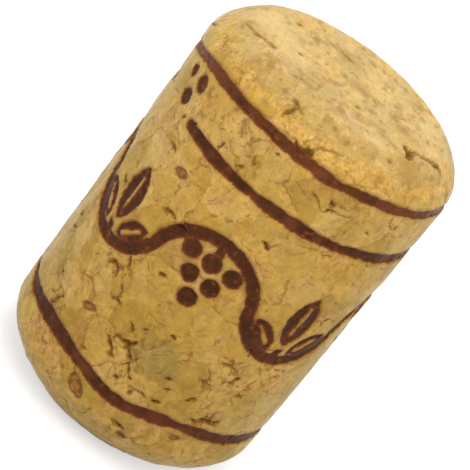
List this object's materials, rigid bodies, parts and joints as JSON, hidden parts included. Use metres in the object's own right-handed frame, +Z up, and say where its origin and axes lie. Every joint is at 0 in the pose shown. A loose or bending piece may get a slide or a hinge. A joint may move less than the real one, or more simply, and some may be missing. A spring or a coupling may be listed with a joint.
{
  "type": "cork stopper",
  "caption": "Round cork stopper with a straight barrel, worn rounded rims, and shallow burnt rings, dots and a running vine on its side.",
  "frame": {"origin": "centre of the flat foot, on the stopper's axis", "axes": "+Z up the axis towards the head; -Y is the front, with the three dots and the start of the broken ring to its left"},
  "size_m": [0.024, 0.024, 0.0355],
  "materials": {
    "cork": "matte agglomerated cork, with dark brown burnt marks"
  },
  "bodies": {
    "root": {"stopper": "cork"}
  },
  "joints": []
}
